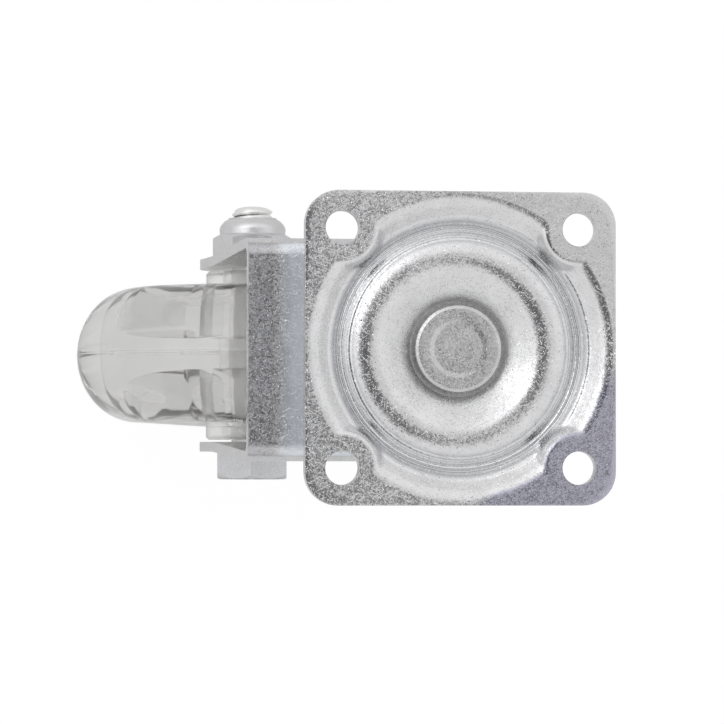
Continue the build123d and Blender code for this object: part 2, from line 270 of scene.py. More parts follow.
# %% [markdown]
# ## Zinc plating
# Bright zinc is a thin layer of fine crystals over rolled steel. From a step away it is a mirror
# broken up by grain a few tenths of a millimetre wide, with stray scratches from handling in
# bulk. The grain tilts the surface by a few degrees, so it sparkles on flat faces and disappears
# on slopes, where all tilts still reflect the same white panel. Several pieces share it, so it is
# a node group that gives shade, roughness, height and normal, and each material keeps its own
# shader.

# %% Node group: plated grain and scratches
def new_group(name, inputs, outputs):
    """A shader node group with named number inputs and typed outputs."""
    group = bpy.data.node_groups.new(name, "ShaderNodeTree")
    for title, value in inputs.items():
        socket = group.interface.new_socket(title, in_out="INPUT", socket_type="NodeSocketFloat")
        socket.default_value = value
    for title, kind in outputs.items():
        group.interface.new_socket(title, in_out="OUTPUT", socket_type=kind)
    return group, group.nodes.new("NodeGroupInput"), group.nodes.new("NodeGroupOutput")


grain_group, given, result = new_group(
    "plated_grain",
    {"Grain Scale": 3900.0, "Crystal Tilt": 0.15, "Sparkle": 3.8, "Scratches": 1.0},
    {"Normal": "NodeSocketVector", "Height": "NodeSocketFloat", "Shade": "NodeSocketFloat",
     "Roughness": "NodeSocketFloat"},
)
tree = grain_group
place = tree.nodes.new("ShaderNodeTexCoord").outputs["Object"]


def noise(tree, place, scale, detail=2.0, roughness=0.5):
    """A noise value at a scale per metre."""
    made = node(tree, "ShaderNodeTexNoise", Vector=place, Scale=scale, Detail=detail,
                Roughness=roughness)
    return made.outputs["Fac"]


def streaks(tree, place, turn, long_scale, fine_scale, low, high):
    """Thin short lines in one direction: noise stretched along one axis and cut to its peaks."""
    stretch = node(tree, "ShaderNodeMapping", vector_type="TEXTURE", Vector=place, Rotation=turn)
    stretch.inputs["Scale"].default_value = (1 / long_scale, 1 / fine_scale, 1 / fine_scale)
    return ramp(tree, noise(tree, stretch.outputs[0], 1.0, 0.0), low, high)


def vectors(tree, operation, first, second=None, scale=None):
    """Add a Vector Math node and return its vector."""
    made = tree.nodes.new("ShaderNodeVectorMath")
    made.operation = operation
    for slot, value in zip(made.inputs, (first, second)):
        if hasattr(value, "is_output"):
            tree.links.new(value, slot)
        elif value is not None:
            slot.default_value = value
    if scale is not None:
        tree.links.new(scale, made.inputs["Scale"])
    return made.outputs[0]


# %% Each crystal tilts the surface its own way
small_crystal_ratio = 2.3
steep_from, steep_to = 0.85, 0.96
level_tilt = 0.4
small_scale = maths(tree, "MULTIPLY", given.outputs["Grain Scale"], small_crystal_ratio)
crystals = node(tree, "ShaderNodeTexVoronoi", Vector=place, Scale=given.outputs["Grain Scale"])
small_crystals = node(tree, "ShaderNodeTexVoronoi", Vector=place, Scale=small_scale)
tilts = vectors(tree, "SUBTRACT", crystals.outputs["Color"], (0.5, 0.5, 0.5))
small_tilts = vectors(tree, "SUBTRACT", small_crystals.outputs["Color"], (0.5, 0.5, 0.5))
tilts = vectors(tree, "ADD", tilts, small_tilts)
chance = tree.nodes.new("ShaderNodeSeparateXYZ")
tree.links.new(small_crystals.outputs["Color"], chance.inputs[0])
steep = ramp(tree, chance.outputs["Z"], steep_from, steep_to)
tilt_size = maths(tree, "MULTIPLY_ADD", steep, given.outputs["Sparkle"], level_tilt)
tilt_size = maths(tree, "MULTIPLY", tilt_size, given.outputs["Crystal Tilt"])
tilts = vectors(tree, "SCALE", tilts, scale=tilt_size)
face_normal = tree.nodes.new("ShaderNodeNewGeometry").outputs["Normal"]
tilted = vectors(tree, "NORMALIZE", vectors(tree, "ADD", face_normal, tilts))
tree.links.new(tilted, result.inputs["Normal"])

# %% Fine unevenness, scratches from handling, dull patches and specks of dirt
coarse_scale = 900.0
patch_scale = 260.0
scratch_turns = [(0.2, 0.1, 0.5), (0.1, -0.3, 1.4), (-0.2, 0.2, 2.4), (0.3, 0.1, -0.3)]
scratch_scales = (300.0, 6500.0)
scratch_peaks = (0.735, 0.785)
scratch_depth = 1.2
scratch_dullness = 0.25
speck_scale = 170.0
speck_size = 0.022
clean_share = 0.55
speck_darkness = 2.0
grain_shade = 0.16
coarse_dullness = 0.10

fine = noise(tree, place, given.outputs["Grain Scale"], 2.0, 0.6)
coarse = noise(tree, place, coarse_scale, 3.0, 0.6)
patches = noise(tree, place, patch_scale, 3.0, 0.6)
scratches = streaks(tree, place, scratch_turns[0], *scratch_scales, *scratch_peaks)
for turn in scratch_turns[1:]:
    line = streaks(tree, place, turn, *scratch_scales, *scratch_peaks)
    scratches = maths(tree, "MAXIMUM", scratches, line)
scratches = maths(tree, "MULTIPLY", scratches, given.outputs["Scratches"])
height = maths(tree, "MULTIPLY_ADD", coarse, 0.5, maths(tree, "MULTIPLY", fine, 0.5))
height = maths(tree, "MULTIPLY_ADD", scratches, -scratch_depth, height)
specks = node(tree, "ShaderNodeTexVoronoi", Vector=place, Scale=speck_scale)
speck_kind = tree.nodes.new("ShaderNodeSeparateXYZ")
tree.links.new(specks.outputs["Color"], speck_kind.inputs[0])
near_speck = maths(tree, "LESS_THAN", specks.outputs["Distance"], speck_size)
is_dirty = maths(tree, "GREATER_THAN", speck_kind.outputs["X"], clean_share)
speck = maths(tree, "MULTIPLY", near_speck, is_dirty)
patch_shade = ramp(tree, patches, 0.3, 0.7, -0.05, 0.05)
shade = maths(tree, "MULTIPLY_ADD", fine, grain_shade, patch_shade)
shade = maths(tree, "MULTIPLY_ADD", speck, -speck_darkness, shade)
patch_dullness = ramp(tree, patches, 0.35, 0.75, 0.0, 0.06)
rough = maths(tree, "MULTIPLY_ADD", coarse, coarse_dullness, patch_dullness)
rough = maths(tree, "MULTIPLY_ADD", scratches, scratch_dullness, rough)
tree.links.new(height, result.inputs["Height"])
tree.links.new(shade, result.inputs["Shade"])
tree.links.new(rough, result.inputs["Roughness"])
print("group", grain_group.name, "with", len(grain_group.nodes), "nodes")


# %% Zinc materials
darker_share, lighter_share = 0.80, 1.12
shade_contrast, middle_tone = 3.0, 0.26
speck_colour = (0.03, 0.03, 0.03, 1)
# Painted shade of the valley between ring and bowl, laid on as fine darker rings.
ring_scale = 3300.0
valley_shade_strength = 0.62
valley_shade_colour = (0.40, 0.41, 0.43, 1)
# Painted shade in the well round the kingpin: its strength, colour and extra roughness.
well_shade_strength = 0.55
well_shade_colour = (0.17, 0.18, 0.155, 1)
well_shade_dullness = 0.25
ring_start_soft, ring_end_soft = 0.3, 0.4
height_soft = 0.1


def beyond(tree, place, along, far, soft, lowest):
    """A mask that is 1 where a point lies further than far mm along a direction and above lowest."""
    reach = ramp(tree, nearness(tree, place, along), (far - soft) * mm, (far + soft) * mm)
    up = nearness(tree, place, (0, 0, 1))
    level = ramp(tree, up, (lowest - height_soft) * mm, (lowest + height_soft) * mm)
    return maths(tree, "MULTIPLY", reach, level)


def from_axis(tree, place):
    """Distance of a point from the Z axis."""
    flat = vectors(tree, "MULTIPLY", place, (1, 1, 0))
    away = tree.nodes.new("ShaderNodeVectorMath")
    away.operation = "LENGTH"
    tree.links.new(flat, away.inputs[0])
    return away.outputs["Value"]


def shaded_valley_rings(tree, away, inner, outer):
    """A mask of fine rings round the Z axis between two radii in mm, which lays painted shade in the
    valley.
    """
    rings = node(tree, "ShaderNodeTexNoise", noise_dimensions="1D", W=away,
                 Scale=ring_scale, Detail=2.0, Roughness=0.6)
    dark_rings = ramp(tree, rings.outputs["Fac"], 0.34, 0.62, 0.0, valley_shade_strength)
    starts = ramp(tree, away, (inner - ring_start_soft) * mm, (inner + ring_start_soft) * mm)
    goes_on = ramp(tree, away, (outer - ring_end_soft) * mm, (outer + ring_end_soft) * mm, 1.0, 0.0)
    return maths(tree, "MULTIPLY", dark_rings, maths(tree, "MULTIPLY", starts, goes_on))


def zinc(name, colour, base_roughness, depth_mm, group_values, areas=(), well_shade=None, valley_shade=None):
    """A plated steel whose colour, roughness and crystals come from the grain group.

    Each area is (direction, far, soft, lowest, calmness, tint, dullness) with far, soft and lowest
    in mm: there the crystals lie level by the calmness, the metal takes the tint and its roughness
    grows by the dullness. A speck takes the tone far below zero, where its dark colour shows.
    well_shade is a radius and a softness in mm: inside it, round the Z axis, a darker colour is painted
    on as shade in the well round the kingpin, and the roughness grows.
    valley_shade is an inner and an outer radius in mm: between them, in the valley between ring and
    bowl, shade is painted on as fine darker rings.
    """
    material = bpy.data.materials.new(name)
    material.use_nodes = True
    tree = material.node_tree
    tree.nodes.clear()
    grain = tree.nodes.new("ShaderNodeGroup")
    grain.node_tree = grain_group
    for title, value in group_values.items():
        grain.inputs[title].default_value = value
    place = tree.nodes.new("ShaderNodeTexCoord").outputs["Object"]
    darker = tuple(c * darker_share for c in colour) + (1,)
    lighter = tuple(min(c * lighter_share, 1.0) for c in colour) + (1,)
    tone = maths(tree, "MULTIPLY_ADD", grain.outputs["Shade"], shade_contrast, middle_tone)
    speckless = ramp(tree, tone, -2.0, -1.0)
    tint = mixed(tree, maths(tree, "MAXIMUM", tone, 0.0, clamp=True), darker, lighter)
    rough = maths(tree, "ADD", grain.outputs["Roughness"], base_roughness)
    tilt = group_values["Crystal Tilt"]
    for along, far, soft, lowest, calmness, area_tint, dullness in areas:
        mask = beyond(tree, place, along, far, soft, lowest)
        if calmness:
            calm = maths(tree, "MULTIPLY_ADD", mask, -calmness * tilt, tilt)
            tree.links.new(calm, grain.inputs["Crystal Tilt"])
        if area_tint:
            tint = mixed(tree, mask, tint, area_tint + (1,))
        rough = maths(tree, "MULTIPLY_ADD", mask, dullness, rough)
    tint = mixed(tree, speckless, speck_colour, tint)
    # Painted shade: fine darker rings between two radii, in the valley between ring and bowl.
    if valley_shade:
        tint = mixed(tree, shaded_valley_rings(tree, from_axis(tree, place), *valley_shade), tint, valley_shade_colour)
    # Painted shade: inside a radius round the Z axis, the well round the kingpin is darkened and made
    # duller.
    if well_shade:
        edge, soft = well_shade
        well_shaded = ramp(tree, from_axis(tree, place), edge * mm, (edge + soft) * mm, well_shade_strength, 0.0)
        tint = mixed(tree, well_shaded, tint, well_shade_colour)
        rough = maths(tree, "MULTIPLY_ADD", well_shaded, well_shade_dullness, rough)
    bump = node(tree, "ShaderNodeBump", Height=grain.outputs["Height"], Distance=depth_mm * mm,
                Normal=grain.outputs["Normal"])
    metal = node(tree, "ShaderNodeBsdfPrincipled", Metallic=1.0, Normal=bump.outputs[0])
    tree.links.new(tint, metal.inputs["Base Color"])
    tree.links.new(rough, metal.inputs["Roughness"])
    node(tree, "ShaderNodeOutputMaterial", Surface=metal.outputs[0])
    return material


# Two corners of the plate differ from the rest: one is rubbed smooth and one looks blue. The yoke's
# top is darker at its front edge and smoother behind it. The bolt's shank and thread have painted
# light: a near-white colour that the head does not get.
calm_corner = ((0.6, 0.8, 0), 15.5, 3.0, -9, 0.75, None, 0.0)
blue_corner = ((0.698, -0.717, 0), 16.7, 1.0, -0.15, 0.0, (0.505, 0.50, 0.585), 0.02)
rolled_front = ((-1, 0, 0), 23.6, 1.3, -9.3, 0.0, (0.54, 0.54, 0.56), 0.0)
drawn_strip = ((1, 0, 0), -22.9, 1.5, -9.3, 0.5, (0.86, 0.90, 0.95), 0.22)
# Painted light: the bolt beyond its head takes a near-white colour.
painted_light_shank = ((0, 1, 0), -13.9, 0.2, -60, 0.5, (0.97, 0.97, 0.96), 0.08)

plate_zinc = zinc(
    "plate_zinc",
    colour=(0.80, 0.80, 0.81),
    base_roughness=0.10,
    depth_mm=0.010,
    group_values={"Crystal Tilt": 0.135},
    areas=[calm_corner, blue_corner],
    # painted shade in the well round the kingpin
    well_shade=(6.2, 2.2),
    # painted shade as darker rings in the valley between ring and bowl
    valley_shade=(14.2, 17.4),
)
yoke_zinc = zinc(
    "yoke_zinc",
    colour=(0.76, 0.76, 0.77),
    base_roughness=0.12,
    depth_mm=0.012,
    group_values={"Grain Scale": 3200.0, "Crystal Tilt": 0.15, "Sparkle": 7.0},
    areas=[rolled_front, drawn_strip],
)
bolt_zinc = zinc(
    "bolt_zinc",
    colour=(0.66, 0.665, 0.68),
    base_roughness=0.20,
    depth_mm=0.006,
    group_values={"Crystal Tilt": 0.05, "Scratches": 0.4},
    areas=[painted_light_shank],
)
nut_zinc = zinc(
    "nut_zinc",
    colour=(0.80, 0.80, 0.81),
    base_roughness=0.28,
    depth_mm=0.006,
    group_values={"Crystal Tilt": 0.05, "Scratches": 0.4},
)
rivet_zinc = zinc(
    "rivet_zinc",
    colour=(0.70, 0.70, 0.70),
    base_roughness=0.20,
    depth_mm=0.030,
    group_values={"Crystal Tilt": 0.18, "Scratches": 0.5},
)
print("zinc materials:", [m.name for m in (plate_zinc, yoke_zinc, bolt_zinc, nut_zinc, rivet_zinc)])


# %% [markdown]
# ## Building helpers
# A pressed or turned piece is a section that is spun round an axis. The section starts as a few
# corner points joined by edges, and the bevel operator rounds each corner, as a fillet does in
# CAD. After a spin the seam and the poles are merged and the normals are worked out again,
# because spin can turn a shape inside out.

# %% Sections, spins and finished pieces
bend_step = radians(7)
seam_gap = 0.0005
sheet_angle = 32
edge_angle = 38


def section(bm, corners, plane="XZ"):
    """Closed wire of corners given as (radius, height, bend radius), all in mm."""
    flat = [Vector(corner[:2]) for corner in corners]
    spots = []
    for across, along in flat:
        place = (across, 0, along) if plane == "XZ" else (across, along, 0)
        spots.append(bm.verts.new(Vector(place) * mm))
    for index, spot in enumerate(spots):
        bm.edges.new((spot, spots[(index + 1) % len(spots)]))
    for index, (_, _, bend) in enumerate(corners):
        if not bend:
            continue
        way_in = flat[index] - flat[index - 1]
        way_out = flat[(index + 1) % len(flat)] - flat[index]
        turn = abs(way_in.angle(way_out))
        bmesh.ops.bevel(
            bm,
            geom=[spots[index]],
            offset=bend * mm * tan(turn / 2),
            offset_type="OFFSET",
            segments=max(2, ceil(turn / bend_step)),
            profile=0.5,
            affect="VERTICES",
            clamp_overlap=False,
            material=-1,
        )


def spun(bm, axis, steps):
    """Spin the wire a full turn, close seam and poles, and point the faces outwards."""
    bmesh.ops.spin(
        bm,
        geom=bm.verts[:] + bm.edges[:],
        cent=(0, 0, 0),
        axis=axis,
        dvec=(0, 0, 0),
        angle=2 * pi,
        steps=steps,
        use_merge=True,
        use_duplicate=False,
    )
    bmesh.ops.remove_doubles(bm, verts=bm.verts, dist=seam_gap * mm)
    bmesh.ops.recalc_face_normals(bm, faces=bm.faces)


def smooth(mesh, sharp):
    """Shade a mesh smooth, except at edges that turn more than an angle in degrees."""
    mesh.shade_smooth()
    mesh.set_sharp_from_angle(angle=radians(sharp))


def finished(bm, name, material, body, node_name, sharp=edge_angle):
    """Turn the bmesh into a piece that is smooth up to an angle and stands for its CAD node."""
    mesh = bpy.data.meshes.new(name)
    bm.to_mesh(mesh)
    bm.free()
    mesh.materials.append(material)
    smooth(mesh, sharp)
    piece = bpy.data.objects.new(name, mesh)
    bpy.context.scene.collection.objects.link(piece)
    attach(piece, body)
    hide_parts(node_name)
    print(name, len(mesh.polygons), "faces")
    return piece


# %% [markdown]
# ## Mounting plate
# On the real caster one steel blank is pressed in a die: four flat pads stay at the corners, a
# bowl goes down between them, and a ring stands up inside the bowl over the balls. A boolean of
# discs and cones could give the same outline, but not its soft transitions. Here the round
# section is spun first, the rings outside the bowl are drawn out to the rounded square, and then
# each point is lifted where a corner pad is, so pads and bowl flow into each other. A tiny ridge in
# the crease between bowl and ring gives the bright line that a real crease shows between two dark
# ones. The under side keeps the corners of the CAD section, because the balls run there. The holes
# come last, by one boolean with four rounded punches.

# %% Sizes of the plate
hair_gap = 0.001
half_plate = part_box("top_plate")[1].x / mm - hair_gap
plate_t = 1.8
corner_r = 4.5
hole_offset = 16.0
hole_r = 2.25
pad_r = 5.1
pad_angle = radians(66)
pad_soft_top = 0.7
pad_soft_under = 0.3
rim_round = 0.22
neck_r = 3.6
well_floor = -3.8
well_under = well_floor - plate_t
crease_r = 15.0
ring_start_r = 20.75
top_line = [
    (19.75, 0.0, 2.8),
    (17.75, -1.40, 0.8),
    (17.35, -1.49, 0.8),
    (16.40, -2.36, 0.25),
    (16.12, -2.22, 0.12),
    (15.84, -2.34, 0.25),
    (crease_r, -1.85, 0.5),
    (14.75, -1.81, 0.5),
    (12.26, -0.50, 4.6),
    (9.6, -1.80, 16),
    (6.95, -3.42, 0.5),
    (6.45, well_floor, 0.2),
    (neck_r, well_floor, 0),
]
under_line = [
    (neck_r, well_under, 0),
    (7.497, well_under, 0.7),
    (7.992, -4.539, 0.2),
    (9.55, -4.15, 8.8),
    (12.941, -2.192, 2.828),
    (15.167, -4.845, 2.0),
    (17.958, -4.845, 2.6),
    (20.452, -plate_t, 0.5),
]
print("plate", round(2 * half_plate, 2), "mm square")

# %% Spin the plate's section
flat_rings = 6
flat_ring_w = 0.5
plate_steps = 360
outer_rings = [ring_start_r + flat_ring_w * (k + 1) for k in range(flat_rings)]
corners = [(ring_start_r, 0.0, 0)] + top_line + under_line
corners += [(r, -plate_t, 0) for r in outer_rings]
corners += [(r, 0.0, 0) for r in reversed(outer_rings)]
bm = bmesh.new()
section(bm, corners)
fine_step = 0.28 * mm
for edge in bm.edges[:]:
    middle = (edge.verts[0].co + edge.verts[1].co) / 2
    if crease_r * mm < middle.x < ring_start_r * mm and edge.calc_length() > fine_step:
        bmesh.ops.subdivide_edges(bm, edges=[edge], cuts=ceil(edge.calc_length() / fine_step) - 1)
spun(bm, (0, 0, 1), plate_steps)
print("plate blank:", len(bm.faces), "faces")


# %% Draw the outer rings out to the rounded square
def square_reach(angle):
    """Distance from the centre to the plate's rounded square outline, in mm."""
    side = max(abs(cos(angle)), abs(sin(angle)))
    straight = half_plate / side
    inner = half_plate - corner_r
    u, v = abs(cos(angle)), abs(sin(angle))
    if straight * min(u, v) <= inner:
        return straight
    along = inner * (u + v)
    return along + (along**2 - 2 * inner**2 + corner_r**2) ** 0.5


last_ring = outer_rings[-1]
for vert in bm.verts:
    radius = hypot(vert.co.x, vert.co.y) / mm
    if radius > ring_start_r + flat_ring_w / 2:
        angle = Vector((vert.co.x, vert.co.y)).angle_signed(Vector((1, 0)))
        share = (radius - ring_start_r) / (last_ring - ring_start_r)
        reach = ring_start_r + share * (square_reach(angle) - ring_start_r)
        vert.co.x *= reach / radius
        vert.co.y *= reach / radius
print("outline", round(max(v.co.x for v in bm.verts) / mm, 2), "mm from the centre")


# %% Lift the corner pads out of the bowl
def pad_depth(x, y, radius, soft):
    """How deep the wall round the nearest pad has dropped at a point, all in mm."""
    out = hypot(abs(x) - hole_offset, abs(y) - hole_offset) - radius
    if out < -soft:
        return 0.0
    run = out if out > soft else (out + soft) ** 2 / (4 * soft)
    return tan(pad_angle) * run


def lifted(depth, wall, softness=8):
    """The shallower of two depths in mm, with a soft change from one to the other."""
    if min(depth, wall) <= hair_gap:
        return 0.0
    return (depth**-softness + wall**-softness) ** (-1 / softness)


under_pad_r = pad_r - plate_t * tan(pad_angle / 2)
bm.normal_update()
for vert in bm.verts:
    x, y, z = vert.co / mm
    if hypot(x, y) < crease_r:
        continue
    if vert.normal.z > 0 and z < 0:
        vert.co.z = -lifted(-z, pad_depth(x, y, pad_r, pad_soft_top)) * mm
    elif vert.normal.z < 0 and z < -plate_t - hair_gap:
        wall = pad_depth(x, y, under_pad_r, pad_soft_under)
        vert.co.z = (-plate_t - lifted(-z - plate_t, wall)) * mm
print("pads lifted")

# %% Soften the sheared outline
bmesh.ops.recalc_face_normals(bm, faces=bm.faces)
rim_angle = radians(60)
rim = [e for e in bm.edges if len(e.link_faces) == 2 and e.calc_face_angle() > rim_angle
       and min(v.co.xy.length for v in e.verts) > ring_start_r * mm]
bmesh.ops.bevel(bm, geom=rim, offset=rim_round * mm, offset_type="OFFSET", segments=3, profile=0.5,
                affect="EDGES", clamp_overlap=True, material=-1)
plate = finished(bm, "plate_sheet", plate_zinc, "plate", "top_plate", sheet_angle)

# %% Punch the four holes
punch_line = [
    (0, 1, 0),
    (hole_r + 0.13, 1, 0),
    (hole_r + 0.11, 0.01, 0),
    (hole_r + 0.02, -0.08, 0),
    (hole_r, -0.2, 0),
    (hole_r, -3, 0),
    (0, -3, 0),
]
punch_steps = 64
bm = bmesh.new()
section(bm, punch_line)
spun(bm, (0, 0, 1), punch_steps)
bmesh.ops.delete(bm, geom=[e for e in bm.edges if e.is_wire], context="EDGES")
first_punch = bm.verts[:] + bm.edges[:] + bm.faces[:]
for side_x, side_y in ((1, 1), (1, -1), (-1, 1), (-1, -1)):
    copied = bmesh.ops.duplicate(bm, geom=first_punch)["geom"]
    moved = [part for part in copied if isinstance(part, bmesh.types.BMVert)]
    bmesh.ops.translate(bm, verts=moved, vec=Vector((side_x, side_y, 0)) * hole_offset * mm)
bmesh.ops.delete(bm, geom=first_punch[:], context="FACES")
punch_mesh = bpy.data.meshes.new("punches")
bm.to_mesh(punch_mesh)
bm.free()
punches = bpy.data.objects.new("punches", punch_mesh)
bpy.context.scene.collection.objects.link(punches)
cut = plate.modifiers.new("holes", "BOOLEAN")
cut.operation = "DIFFERENCE"
cut.solver = "MANIFOLD"
cut.object = punches
bpy.context.view_layer.update()
cut_mesh = bpy.data.meshes.new_from_object(plate.evaluated_get(bpy.context.evaluated_depsgraph_get()))
plate.modifiers.clear()
plate.data = cut_mesh
bpy.data.objects.remove(punches)
plate.data.materials.clear()
plate.data.materials.append(plate_zinc)
smooth(plate.data, sheet_angle)
print("plate", len(plate.data.polygons), "faces")

# %% [markdown]
# ## Kingpin
# The kingpin is turned, put through plate and yoke, and its head is then pressed flat in the
# well. The press leaves a ring and a rough middle on the face. The ring is made in the section,
# so it catches light from any side, and the rough middle is coarse grain in the material.

# %% Spin the kingpin
head_r = 5.9
head_top = -2.3
post_r = 4.5
flange_r = 6.2
flange_t = 1.6
kingpin_steps = 128
kingpin_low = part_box("kingpin")[0].z / mm
flange_top = kingpin_low + flange_t
kingpin_corners = [
    (0, head_top - 0.10, 0),
    (2.2, head_top - 0.08, 0.8),
    (3.3, head_top - 0.12, 0.8),
    (3.9, head_top - 0.01, 0.6),
    (head_r - 0.48, head_top, 0.2),
    (head_r - 0.06, head_top - 0.22, 0.15),
    (head_r, head_top - 0.5, 0.2),
    (head_r, well_floor, 0.1),
    (neck_r, well_floor, 0),
    (neck_r, well_under, 0),
    (post_r, well_under, 0),
    (post_r, flange_top, 0),
    (flange_r, flange_top, 0.15),
    (flange_r, kingpin_low, 0.6),
    (0, kingpin_low, 0),
]
bm = bmesh.new()
section(bm, kingpin_corners)
spun(bm, (0, 0, 1), kingpin_steps)
finished(bm, "kingpin_rivet", rivet_zinc, "plate", "kingpin", sheet_angle)

# %% [markdown]
# ## Yoke, retainer and fasteners
# The yoke, the retainer cup, the bolt and the nut have the right form in CAD already. The CAD
# mesh is loose triangles, so a copy is merged, its flat faces are joined, and its sharp edges
# get the small round that shearing and plating leave. The nut's collar is also drawn in towards
# its end, where the rim was rolled over the nylon ring.

# %% Softened copies of CAD nodes
weld_gap = 0.001
shortest_edge = 0.002
flat_angle = radians(0.6)
sharp_angle = radians(30)
sheared_edge = 0.26
turned_edge = 0.12
core_edge = 0.2


def softened(node_name, edge_mm):
    """A bmesh copy of a CAD node, merged, with its sharp edges rounded by edge_mm."""
    bm = bmesh.new()
    bm.from_mesh(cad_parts[node_name].data)
    bmesh.ops.remove_doubles(bm, verts=bm.verts, dist=weld_gap * mm)
    bmesh.ops.dissolve_degenerate(bm, edges=bm.edges, dist=shortest_edge * mm)
    bmesh.ops.dissolve_limit(bm, angle_limit=flat_angle, verts=bm.verts, edges=bm.edges)
    edges = [e for e in bm.edges if len(e.link_faces) == 2 and e.calc_face_angle() > sharp_angle]
    bmesh.ops.bevel(bm, geom=edges, offset=edge_mm * mm, offset_type="OFFSET", segments=3,
                    profile=0.5, affect="EDGES", clamp_overlap=True, material=-1)
    return bm


def level_shading(piece):
    """Let large flat faces keep their own normals, so that only the bends look round."""
    shading = piece.modifiers.new("flat_faces_first", "WEIGHTED_NORMAL")
    shading.keep_sharp = True


# %% Yoke and retainer cup
bm = softened("yoke", sheared_edge)
yoke = finished(bm, "yoke_stamping", yoke_zinc, "yoke", "yoke")
level_shading(yoke)
bm = softened("retainer_cup", turned_edge)
cup = finished(bm, "retainer_pressing", yoke_zinc, "plate", "retainer_cup")
level_shading(cup)

# %% Lock nut with its collar drawn in
tyre_low, tyre_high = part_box("tyre")
axle = (tyre_low + tyre_high) / 2
collar_start = 17.7
collar_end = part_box("lock_nut")[1].y / mm
collar_bore_r = 3.6
collar_swell = 1.02
collar_draw = 0.12
bm = softened("lock_nut", turned_edge)
for vert in bm.verts:
    rise = (vert.co.y / mm - collar_start) / (collar_end - collar_start)
    out_x = vert.co.x - axle.x
    out_z = vert.co.z - axle.z
    if rise > 0 and hypot(out_x, out_z) > collar_bore_r * mm:
        keep = collar_swell - collar_draw * rise**2
        vert.co.x = axle.x + out_x * keep
        vert.co.z = axle.z + out_z * keep
nut = finished(bm, "lock_nut_turned", nut_zinc, "yoke", "lock_nut")
level_shading(nut)

# %% [markdown]
# ## Axle bolt with its thread
# Head and shank come from CAD, where the thread is left plain. The thread that stands out of the
# nut is a real helix: one tooth of the section is spun while it moves one pitch a turn. The bolt
# is cut off inside the nut and the thread goes on from there.

# %% Thread by a spin that climbs
def cut_off(bm, place, side):
    """Cut the bmesh across Y at a place in mm, drop what lies on that side and close the cut."""
    cut = bmesh.ops.bisect_plane(
        bm,
        geom=bm.verts[:] + bm.edges[:] + bm.faces[:],
        dist=0.0001 * mm,
        plane_co=(0, place * mm, 0),
        plane_no=(0, side, 0),
        clear_outer=True,
    )
    loop = [e for e in cut["geom_cut"] if isinstance(e, bmesh.types.BMEdge)]
    bmesh.ops.holes_fill(bm, edges=loop, sides=0)


thread_start = 18.5
thread_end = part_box("axle_bolt")[1].y / mm
pitch = 1.0
turns = 5
turn_steps = 48
root_r = 2.58
crest_r = 2.95
root_rise = 0.02
tooth = [
    (root_r, 0),
    (root_r + root_rise, 0.08),
    (crest_r, 0.40),
    (crest_r, 0.56),
    (root_r + root_rise, 0.92),
    (root_r, 1),
]
axle_line = Vector((axle.x, 0, axle.z))
bm = bmesh.new()
spots = []
for radius, share in tooth:
    along = thread_start + (share - 1) * pitch
    spots.append(bm.verts.new(axle_line + Vector((radius, along, 0)) * mm))
for pair in zip(spots, spots[1:]):
    bm.edges.new(pair)
bmesh.ops.spin(bm, geom=bm.verts[:] + bm.edges[:], cent=axle_line, axis=(0, 1, 0),
               dvec=(0, pitch / turn_steps * mm, 0), angle=2 * pi * turns, steps=turn_steps * turns,
               use_merge=False, use_duplicate=False)
bmesh.ops.remove_doubles(bm, verts=bm.verts, dist=weld_gap * mm)
cut_off(bm, thread_start, -1)
cut_off(bm, thread_end, 1)
lead_in = 0.85
lead_in_draw = 0.8
for vert in bm.verts:
    over = vert.co.y / mm - (thread_end - lead_in)
    out = vert.co - axle_line
    out.y = 0
    limit = crest_r * (1 - lead_in_draw * (max(over, 0) / lead_in) ** 2) ** 0.5 * mm
    if out.length > limit:
        vert.co.x = axle_line.x + out.x * limit / out.length
        vert.co.z = axle_line.z + out.z * limit / out.length
bmesh.ops.recalc_face_normals(bm, faces=bm.faces)
thread_mesh = bpy.data.meshes.new("thread")
bm.to_mesh(thread_mesh)
bm.free()

# %% Bolt with the thread set in
set_in = 0.1
bm = softened("axle_bolt", turned_edge)
cut_off(bm, thread_start + set_in, 1)
bm.from_mesh(thread_mesh)
bpy.data.meshes.remove(thread_mesh)
bolt = finished(bm, "axle_bolt_turned", bolt_zinc, "yoke", "axle_bolt")
level_shading(bolt)

# %% [markdown]
# ## Balls
# Bearing balls are polished, so a plain sphere is enough, and the zinc recipe with hardly any
# grain gives it a slightly uneven gloss. One loop makes all of them from the boxes of their CAD
# nodes.

# %% Polished steel and the two rings of balls
ball_steel = zinc(
    "ball_steel",
    colour=(0.72, 0.72, 0.73),
    base_roughness=0.08,
    depth_mm=0.002,
    group_values={"Crystal Tilt": 0.02, "Scratches": 0.2},
)
for ball_node in sorted(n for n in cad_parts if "_ball_" in n):
    low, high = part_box(ball_node)
    ball_r = (high.z - low.z) / 2
    bm = bmesh.new()
    bmesh.ops.create_uvsphere(bm, u_segments=40, v_segments=24, radius=ball_r)
    bmesh.ops.translate(bm, verts=bm.verts, vec=(low + high) / 2)
    ring_body = "upper_balls" if ball_node.startswith("upper") else "lower_balls"
    piece_name = ball_node + "_polished"
    finished(bm, piece_name, ball_steel, ring_body, ball_node, sheet_angle)

# %% [markdown]
# ## Wheel
# The wheel is clear right through: a hard core with hub, web, rim and ribs, and a soft tyre
# moulded all round it. Where light goes from tyre to core it hardly bends, and only the hub ends
# and the bore meet air. So the tyre is one closed solid that bends light as plastic does, and the
# core inside it has faces of two kinds: bonded faces with a weak bend and air faces with a
# stronger one. A core with a film of air round it would look silvery, which this wheel does not. A
# little white is mixed in, because the real wheel is slightly milky.

# %% Clear materials
swirl_scale = 120.0
gloss_scale = 700.0


